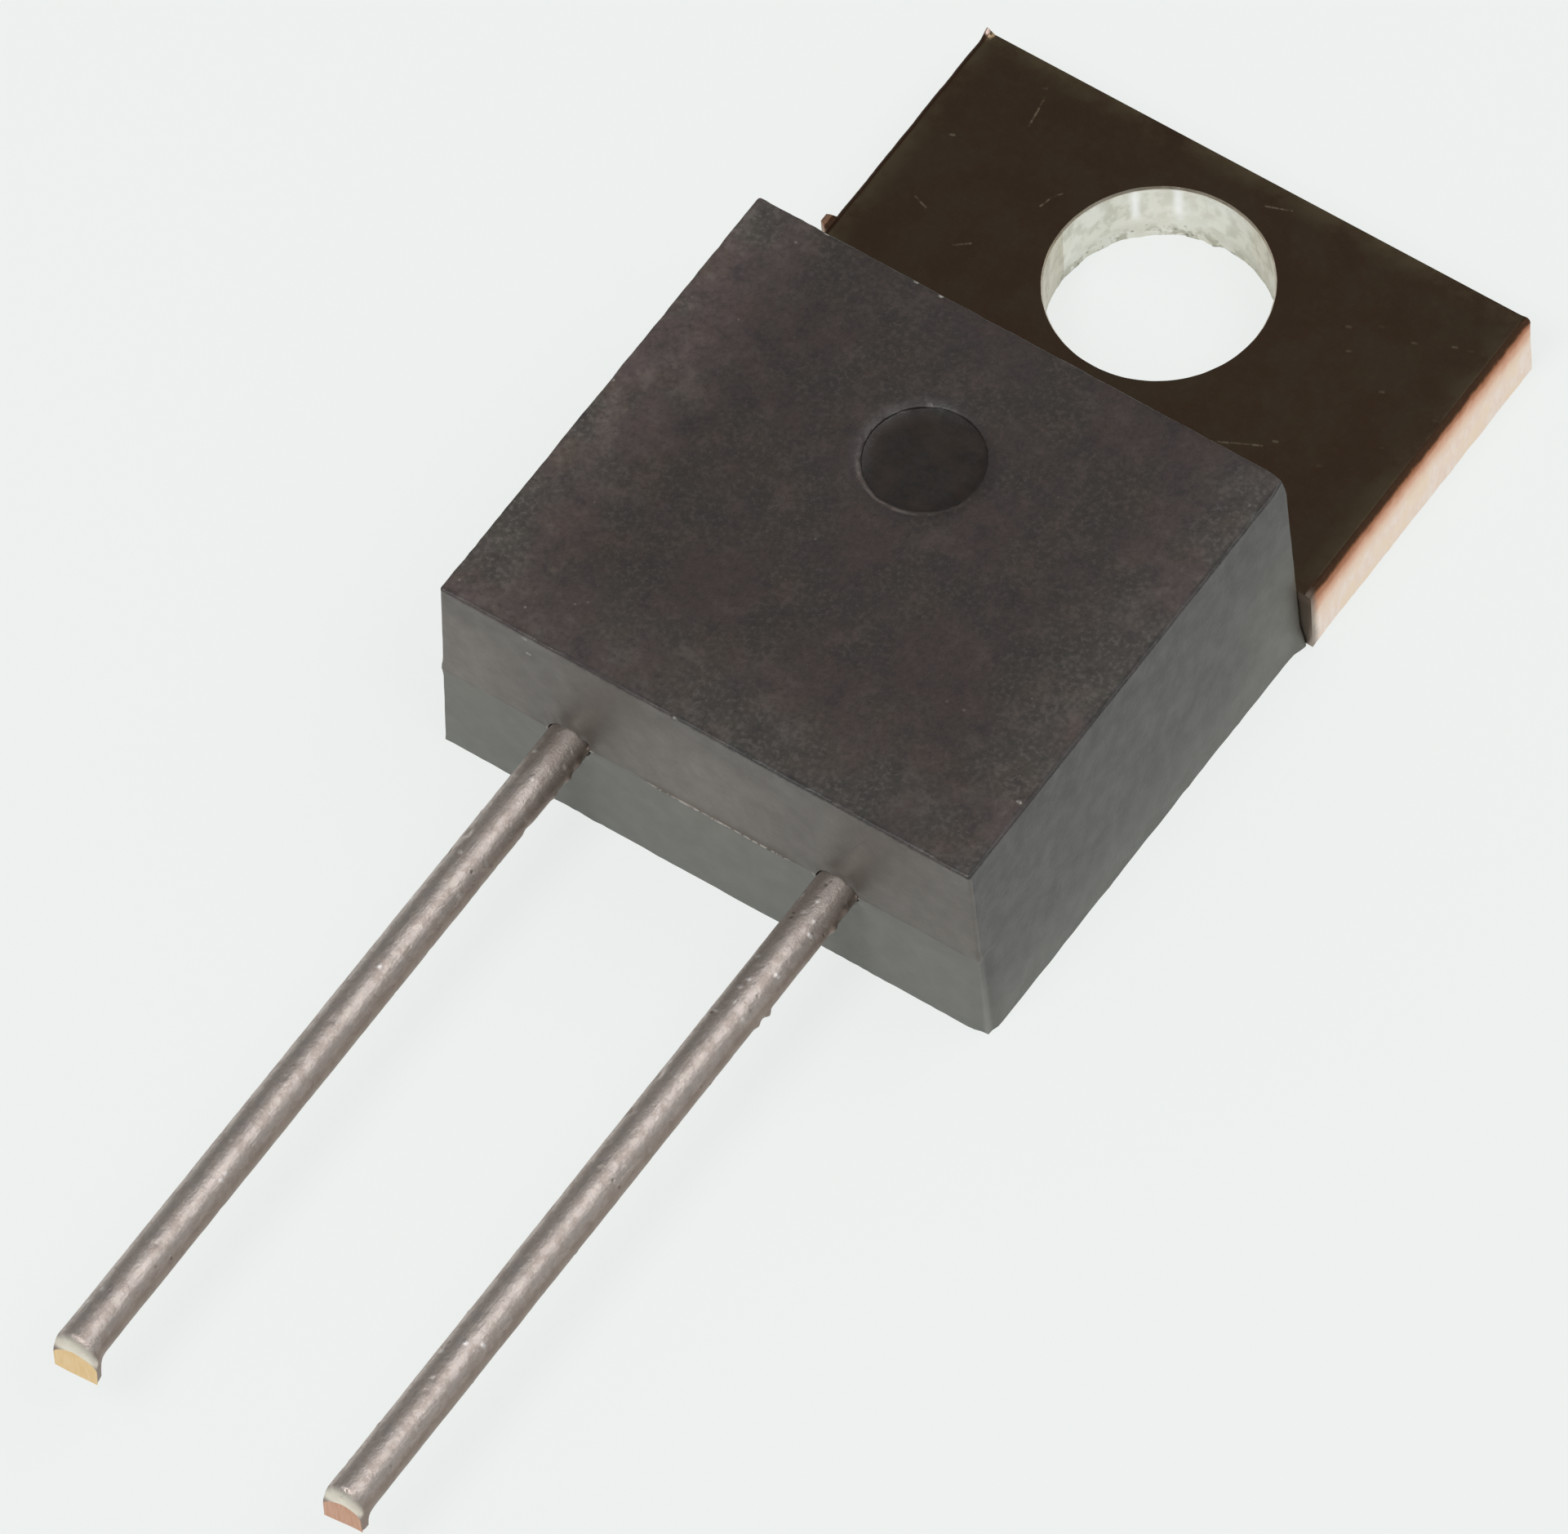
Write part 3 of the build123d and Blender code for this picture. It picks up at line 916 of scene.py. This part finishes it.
def resin_at_leads(place, front):
    """Resin drawn up in lumps round each lead."""
    shift = Vector()
    for x, z in LEAD_AXES.values():
        away = math.hypot(place.x - x, place.z - z) - WIRE_RADIUS
        if front and away < 0.3:
            lump = max(0.0, 0.6 + 0.9 * ripple(place + Vector((x, 3, 0)), 0.16))
            shift += Vector((0, -1, 0)) * 0.07 * lump * math.exp(-max(0.0, away) / 0.06)
    return shift


def body_shift(place, normal):
    """How far the moulding's skin departs from its true form at a place."""
    front = smooth(place.y, BODY_LOW.y + 0.14, BODY_LOW.y + 0.07)
    shift = normal * 0.004 * ripple(place, 0.35)
    shift += worn_mark(place)
    shift += ragged_top_edges(place, normal)
    shift += uneven_foot(place, normal)
    shift += resin_on_shoulder(place)
    shift += parting_flash(place, front)
    shift += corner_knobs(place)
    shift += worn_corners(place)
    shift += resin_at_leads(place, front)
    return shift


def make_body():
    xs = steps(BODY_LOW.x, BODY_HIGH.x, SKIN_STEP)
    ys = steps(BODY_LOW.y, BODY_HIGH.y, SKIN_STEP)
    zs = steps(0, BODY_HIGH.z - 0.09, SKIN_STEP)
    zs += [PARTING_Z + offset for offset in PARTING_CUTS]
    zs += [BODY_HIGH.z - offset for offset in EDGE_CUTS]
    for x, z in LEAD_AXES.values():
        xs += [x + offset for offset in steps(-LEAD_SURROUND, LEAD_SURROUND, LEAD_STEP)]
        zs += [z + offset for offset in steps(-LEAD_SURROUND, LEAD_SURROUND, LEAD_STEP)]
    bm = finer("moulded_body", (xs, ys, zs))
    moves = [(vert, body_shift(vert.co, vert.normal)) for vert in bm.verts]
    for vert, move in moves:
        on_floor = vert.co.z < SLACK
        vert.co += move
        vert.co.z = 0.0 if on_floor else min(vert.co.z, BODY_HIGH.z)
    dress("body_moulding", bm, "moulded_body", [COMPOUND])


# ---------------- heat-sink tab

TAB_STEPS = (0.2, 0.11, 0.12)  # size of the tab's faces on X, Y and Z
HOLE_STEP = 0.09  # and round the hole
RIM_CUTS = (0.02, 0.045, 0.075, 0.11, 0.16, 0.24)  # from the sheared edges and the top
FOOT_CUTS = [0.03, 0.06]
ROLL_OVER = 0.11
TAB_SIDES = ((-1, TAB_LEFT), (1, TAB_HIGH.x))
BURRS = ((-1, 0.18), (1, 0.06))  # side, and height of the burr on that corner of the free end
NOTCH_TURN = 96.0  # a tag of metal left on the hole's lower rim, in degrees from +X
PLATED, SHEARED, PUNCHED = range(3)


def tab_material(face):
    """Which of the tab's three materials a face has."""
    middle = face.calc_center_median()
    upright = abs(face.normal.z) < 0.9
    if upright and math.hypot(middle.x, middle.y) < HOLE_RADIUS + 0.07:
        return PUNCHED
    if middle.x < TAB_LEFT + ROLL_OVER or middle.x > TAB_HIGH.x - ROLL_OVER:
        return SHEARED
    return SHEARED if upright and middle.y > SHOULDER_Y - 0.01 else PLATED


def punch_hole(place, from_axis):
    """Rounds off the hole's facets, then lets the punch's break-out spoil the lower rim."""
    chamfer = max(0.0, place.z - (TAB_HIGH.z - 0.05)) * 0.5
    torn = smooth(place.z, 0.45, 0.0)
    flat = Vector((place.x, place.y, 0))
    ragged = 0.9 + 0.6 * ripple(flat, 0.45) + 0.5 * ripple(flat + Vector((0, 0, 5)), 0.13)
    turn = math.degrees(math.atan2(place.y, place.x))
    notch = smooth(turn, NOTCH_TURN - 2, NOTCH_TURN) * smooth(turn, NOTCH_TURN + 9, NOTCH_TURN)
    break_out = torn * (0.045 * ragged - 0.05 * notch)
    place.xy *= (HOLE_RADIUS + chamfer + break_out + 0.004 * ripple(place, 0.2)) / from_axis


def roll_over(place):
    """Rolls the top over along the two sheared sides: the square rim becomes an arc."""
    height = TAB_HIGH.z - place.z
    for side, edge in TAB_SIDES:
        inset = side * (edge - place.x)
        if -SLACK < inset < ROLL_OVER and height < ROLL_OVER:
            centre = Vector((edge - side * ROLL_OVER, TAB_HIGH.z - ROLL_OVER))
            spoke = Vector((place.x, place.z)) - centre
            place.x, place.z = centre + spoke.normalized() * ROLL_OVER


def raise_burrs(place):
    """Raises the burrs on the free end's two corners."""
    for (side, size), (_, edge) in zip(BURRS, TAB_SIDES):
        corner = Vector((edge, TAB_HIGH.y, TAB_HIGH.z))
        near = max(0.0, 1 - (place - corner).length / 0.20)
        place += Vector((0, 0, size)) * near ** 1.5


def wave_sides(place):
    """Draws the two sheared sides in a little, in waves."""
    for side, edge in TAB_SIDES:
        inset = side * (edge - place.x)
        if -SLACK < inset < 0.3:
            wave = 0.012 * ripple(place + Vector((9, 0, 0)), 0.5) + 0.006 * ripple(place, 0.12)
            place.x -= side * (0.012 + wave) * smooth(inset, 0.3, 0.0)


def make_tab():
    x_step, y_step, z_step = TAB_STEPS
    xs = steps(TAB_LEFT, TAB_HIGH.x, x_step)
    xs += [TAB_LEFT + c for c in RIM_CUTS] + [TAB_HIGH.x - c for c in RIM_CUTS]
    ys = steps(SHOULDER_Y, TAB_HIGH.y, y_step) + [TAB_HIGH.y - c for c in RIM_CUTS]
    zs = steps(0, TAB_HIGH.z, z_step) + [TAB_HIGH.z - c for c in RIM_CUTS[:-1]] + FOOT_CUTS
    round_hole = steps(-HOLE_RADIUS, HOLE_RADIUS, HOLE_STEP)
    bm = finer("heat_sink_tab", (xs + round_hole, ys + round_hole, zs))
    for face in bm.faces:
        face.material_index = tab_material(face)
    for vert in bm.verts:
        from_axis = math.hypot(vert.co.x, vert.co.y)
        if from_axis < HOLE_RADIUS + 0.06:
            punch_hole(vert.co, from_axis)
        elif vert.co.y >= SHOULDER_Y + 0.02:
            roll_over(vert.co)
            raise_burrs(vert.co)
            wave_sides(vert.co)
    dress("tab_blank", bm, "heat_sink_tab", [PLATING, COPPER, HOLE])


# ---------------- leads

# The coined end inside the body and the sheared tip, as the solids have them
WIRE_START_Y = -12.62
FLARE_Y = -12.0  # amid the flare from wire to paddle
PADDLE_FRONT_Y = -11.50
PADDLE_BACK_Y = -9.30
PADDLE_WIDTH = 1.50
PADDLE_THICKNESS = 0.24
BURR_LENGTH = 0.50  # stretch over which shearing has dragged the tip down
BURR_DROP = 0.15
BURR_SPREAD = 0.01
TIP_SINK = 0.14  # the cut's shoulders lie this far below the wire's axis
TIP_ARCH = 0.20  # and its crown this far above its shoulders
# And as this sample has them
TIP_ROLL = 0.16  # stretch over which the upper side rolls over to the cut
# Each cut's skew: how much lower its left shoulder and two lower corners lie, and how far its
# right side swings out
TIP_SKEW = {"left": (0.12, 0.11, 0.0, 0.06), "right": (0.10, 0.04, -0.12, -0.06)}
DRAG_ONSET = 2.4  # the higher, the nearer to the tip the lower side turns square

LEAD_SPOKES = 56
RING_STEP = 0.04
TIP_STRETCH = 0.6  # where closer rings take over, from the tip
TIP_RINGS = (
    0.55, 0.5, 0.45, 0.4, 0.35, 0.3, 0.27, 0.24, 0.21, 0.18, 0.15, 0.12, 0.09,
    0.065, 0.045, 0.028, 0.015, 0.006, 0.001, 0.0,
)
DENTS = 120
# Lumps and nicks: place along Y, turn in degrees from +X, size and height
LUMPS = {
    "left": (
        (-12.86, 0, 0.16, 0.030), (-13.14, -12, 0.13, 0.045), (-13.52, -18, 0.12, 0.025),
        (-14.24, -22, 0.16, -0.045), (-15.02, 128, 0.14, -0.030), (-15.40, 150, 0.12, -0.025),
        (-17.62, 75, 0.07, 0.020), (-20.36, 80, 0.07, 0.020),
    ),
    "right": (
        (-12.86, 4, 0.16, 0.030), (-13.22, -8, 0.14, 0.045), (-15.02, -24, 0.11, 0.060),
        (-15.30, -20, 0.10, 0.030), (-17.05, 140, 0.15, -0.030), (-17.87, 132, 0.13, -0.030),
        (-18.98, 100, 0.07, 0.020),
    ),
}


def coined_point(across, up, y):
    """A point of the lead's outline inside the body, where the wire flares to a flat paddle."""
    half = Vector((PADDLE_WIDTH, PADDLE_THICKNESS)) / 2
    reach = min(half.x / max(TINY, abs(across)), half.y / max(TINY, abs(up)))
    flat = Vector((across, up)) * reach
    share = (y - WIRE_START_Y) / (PADDLE_FRONT_Y - WIRE_START_Y)
    return (Vector((across, up)) * WIRE_RADIUS).lerp(flat, min(1.0, share))


def tip_point(across, up, from_tip, skew):
    """A point of the lead's outline near the tip, whose lower side is dragged down and whose
    upper side rolls over."""
    shoulder_sink, left_drop, right_drop, swing = skew
    burr = 1 - from_tip / BURR_LENGTH
    roll = 1 - math.sqrt(1 - max(0.0, 1 - from_tip / TIP_ROLL) ** 2)
    drag = min(1.0, burr * BURR_LENGTH / (BURR_LENGTH - TIP_ROLL)) ** DRAG_ONSET
    half_width = WIRE_RADIUS + BURR_SPREAD * burr
    shoulder = -TIP_SINK * roll
    slant = shoulder_sink * roll * min(0.0, across)
    if up >= 0:
        crown = WIRE_RADIUS + (TIP_ARCH - WIRE_RADIUS) * roll
        point = Vector((half_width * across, shoulder + slant + crown * up))
    else:
        low = WIRE_RADIUS + BURR_DROP * burr + shoulder
        reach = min(half_width / max(TINY, abs(across)), low / abs(up))
        dragged = Vector((across, up)) * reach + Vector((0, shoulder))
        share = 0.5 + 0.5 * dragged.x / half_width
        drop = left_drop * (1 - share) + right_drop * share
        dragged.y += drop * burr * up + slant * (1 + up) ** 2
        point = (Vector((across, up)) * WIRE_RADIUS).lerp(dragged, drag)
    point.x += swing * burr * drag * max(0.0, across)
    return point


def lead_point(turn, y, from_tip, skew):
    """A point of the lead's outline, across its axis, in the direction of a turn."""
    across, up = math.cos(turn), math.sin(turn)
    if y > WIRE_START_Y:
        return coined_point(across, up, y)
    if from_tip < BURR_LENGTH:
        return tip_point(across, up, from_tip, skew)
    return Vector((across, up)) * WIRE_RADIUS


def wire_dents(side, tip_y, seed):
    """Scattered pits and grains, with the lumps and nicks that stand out."""
    rng = random.Random(seed)
    dents = []
    for _ in range(DENTS):
        y = rng.uniform(tip_y + 0.4, WIRE_START_Y)
        turn = rng.uniform(0, math.tau)
        size = rng.uniform(0.03, 0.09)
        dents.append((y, turn, size, rng.choice((-1, -1, 0.7)) * rng.uniform(0.006, 0.018)))
    return dents + [(y, math.radians(turn), size, lift) for y, turn, size, lift in LUMPS[side]]


def wire_lift(place, y, turn, dents):
    """How far the tin stands out from the true wire, or in, at a place."""
    lift = 0.0045 * ripple(place, 0.45) + 0.003 * ripple(place + Vector((3, 0, 0)), 0.14)
    for at_y, at_turn, size, height in dents:
        round_wire = math.remainder(turn - at_turn, math.tau) * WIRE_RADIUS
        lift += height * smooth(math.hypot(y - at_y, round_wire), size, 0.0)
    return lift - 0.005


def lead_ring(bm, side, y, tip_y, dents):
    """The vertices of a lead's outline at one place along it."""
    axis_x, axis_z = LEAD_AXES[side]
    near = [dent for dent in dents if abs(dent[0] - y) < 0.2]
    ring = []
    for i in range(LEAD_SPOKES):
        turn = math.tau * i / LEAD_SPOKES
        point = lead_point(turn, y, y - tip_y, TIP_SKEW[side])
        if WIRE_START_Y >= y > tip_y + 0.02:
            place = Vector((axis_x + point.x, y, axis_z + point.y))
            point *= 1 + wire_lift(place, y, turn, near) / WIRE_RADIUS
        ring.append(bm.verts.new((axis_x + point.x, y, axis_z + point.y)))
    return ring


def make_lead(side, end_material, seed):
    tip_y = LEAD_BOXES[side][0].y
    dents = wire_dents(side, tip_y, seed)
    even_rings = int((WIRE_START_Y - tip_y - TIP_STRETCH) / RING_STEP) + 1
    places = [PADDLE_BACK_Y, PADDLE_FRONT_Y, FLARE_Y]
    places += [WIRE_START_Y - RING_STEP * i for i in range(even_rings)]
    places += [tip_y + from_tip for from_tip in TIP_RINGS]
    bm = bmesh.new()
    rings = [lead_ring(bm, side, y, tip_y, dents) for y in places]
    for near_ring, far_ring in zip(rings, rings[1:]):
        for i in range(LEAD_SPOKES):
            j = (i + 1) % LEAD_SPOKES
            bm.faces.new((near_ring[i], near_ring[j], far_ring[j], far_ring[i]))
    bm.faces.new(rings[0])
    end = bm.faces.new(rings[-1])
    end.material_index = 1
    bmesh.ops.recalc_face_normals(bm, faces=bm.faces)
    dress(f"wire_{side}", bm, f"lead_{side}", [TIN, end_material])


make_body()
make_tab()
make_lead("left", END_YELLOW, 3)
make_lead("right", END_SALMON, 8)


# ---------------- the element inside the body

def fired_layer(name, pale, deep, size, rough, **shader):
    """A plain fired or reflowed layer: two close colours and a fine grain."""
    mat = Nodes(name, **shader)
    grain = mat.noise(size, detail=4)
    colour = mat.blend(mat.span(grain, 0.3, 0.7), pale, deep)
    rough = mat.span(grain, 0.3, 0.7, rough - 0.06, rough + 0.06)
    return mat.finished(colour, rough, (grain, size * 0.05))


def paint(node, material):
    """Gives a CAD node, which shows as it is, its material."""
    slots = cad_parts[node].material_slots
    if not slots:
        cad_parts[node].data.materials.append(material)
    for slot in slots:
        slot.material = material


ALUMINA = fired_layer("alumina", (226, 224, 216), (240, 239, 234), 0.05, 0.55)
SOLDER = fired_layer("solder", (150, 150, 152), (186, 186, 188), 0.12, 0.35, Metallic=1.0)
SILVER = fired_layer("printed_silver", (196, 192, 184), (220, 218, 212), 0.04, 0.45, Metallic=1.0)
FILM = fired_layer("resistor_ink", (30, 30, 32), (46, 44, 44), 0.04, 0.5)
GLAZE = fired_layer("glaze", (38, 70, 58), (50, 86, 70), 0.3, 0.18, Coat_Weight=0.5)

paint("ceramic_substrate", ALUMINA)
paint("substrate_solder", SOLDER)
paint("resistive_film", FILM)
paint("overglaze", GLAZE)
for side in SIDES:
    paint(f"termination_{side}", SILVER)
    paint(f"lead_solder_{side}", SOLDER)

bpy.context.scene.view_settings.view_transform = "Standard"

bpy.context.view_layer.update()
